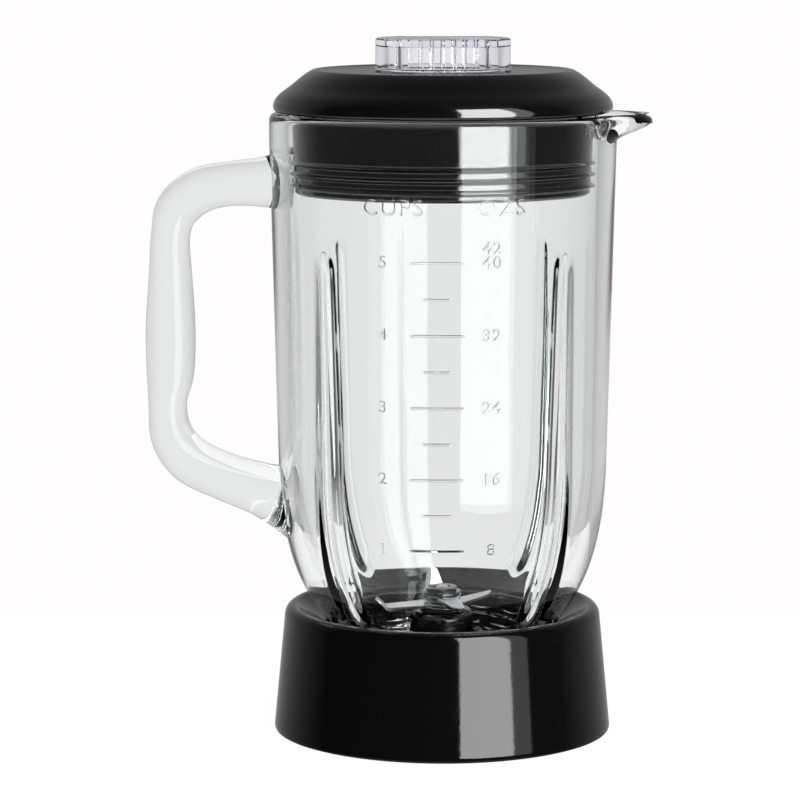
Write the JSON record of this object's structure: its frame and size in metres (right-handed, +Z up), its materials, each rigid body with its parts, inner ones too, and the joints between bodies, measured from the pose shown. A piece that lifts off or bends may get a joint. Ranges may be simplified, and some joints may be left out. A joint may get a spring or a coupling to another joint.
{
  "type": "blender jug",
  "caption": "Countertop blender's glass jug with handle and pouring spout, domed lid with clear filler cap, screw-on base collar and bladed drive unit.",
  "frame": {"origin": "on the blade shaft's axis, in the plane of the collar's bottom rim", "axes": "+Z up along the shaft's axis, +X towards the pouring spout (the handle is at -X), -Y towards the graduated side"},
  "size_m": [0.1824, 0.1246, 0.251],
  "materials": {
    "clear_glass": "polished pressed glass, faint green in thick edges",
    "clear_plastic": "clear moulded, faint violet tint",
    "black_gloss": "gloss moulded black",
    "black_satin": "satin moulded black",
    "black_rubber": "moulded rubber",
    "nylon": "plain black nylon",
    "stainless": "stamped and brushed stainless",
    "bronze": "sintered bronze",
    "cast_metal": "cast, satin"
  },
  "bodies": {
    "collar": {"collar": "black_gloss"},
    "blade_unit": {"blade_holder": "black_satin", "sealing_gasket": "black_rubber", "bearing_sleeve": "stainless", "lower_bush": "bronze", "upper_bush": "bronze", "shaft_seal": "black_rubber"},
    "rotor": {"blade_shaft": "stainless", "nylon_washer": "nylon", "thrust_washer": "stainless", "lower_blade": "stainless", "blade_spacer": "stainless", "upper_blade": "stainless", "blade_washer": "stainless", "blade_nut": "stainless", "lower_washer": "nylon", "retaining_clip": "stainless", "drive_coupling": "cast_metal"},
    "jug": {"glass_jug": "clear_glass"},
    "lid": {"lid": "black_satin"},
    "filler_cap": {"filler_cap": "clear_plastic"}
  },
  "joints": [
    {"name": "jug_turn", "type": "hinge", "parent": "collar", "child": "blade_unit", "pos_m": [0, 0, 0], "axis": [0, 0, 1], "range_deg": [0, 450]},
    {"name": "jug_rise", "type": "slide", "parent": "blade_unit", "child": "jug", "axis": [0, 0, 1], "range_m": [0, 0.0063]},
    {"name": "blade_spin", "type": "hinge", "parent": "blade_unit", "child": "rotor", "pos_m": [0, 0, 0], "axis": [0, 0, 1], "continuous": true},
    {"name": "lid_lift", "type": "slide", "parent": "jug", "child": "lid", "axis": [0, 0, 1], "range_m": [0, 0.05]},
    {"name": "cap_lift", "type": "slide", "parent": "lid", "child": "filler_cap", "axis": [0, 0, 1], "range_m": [0, 0.03]}
  ],
  "couplings": [
    {"joint": "jug_rise", "follows": "jug_turn", "m_per_rad": 0.00079577}
  ]
}
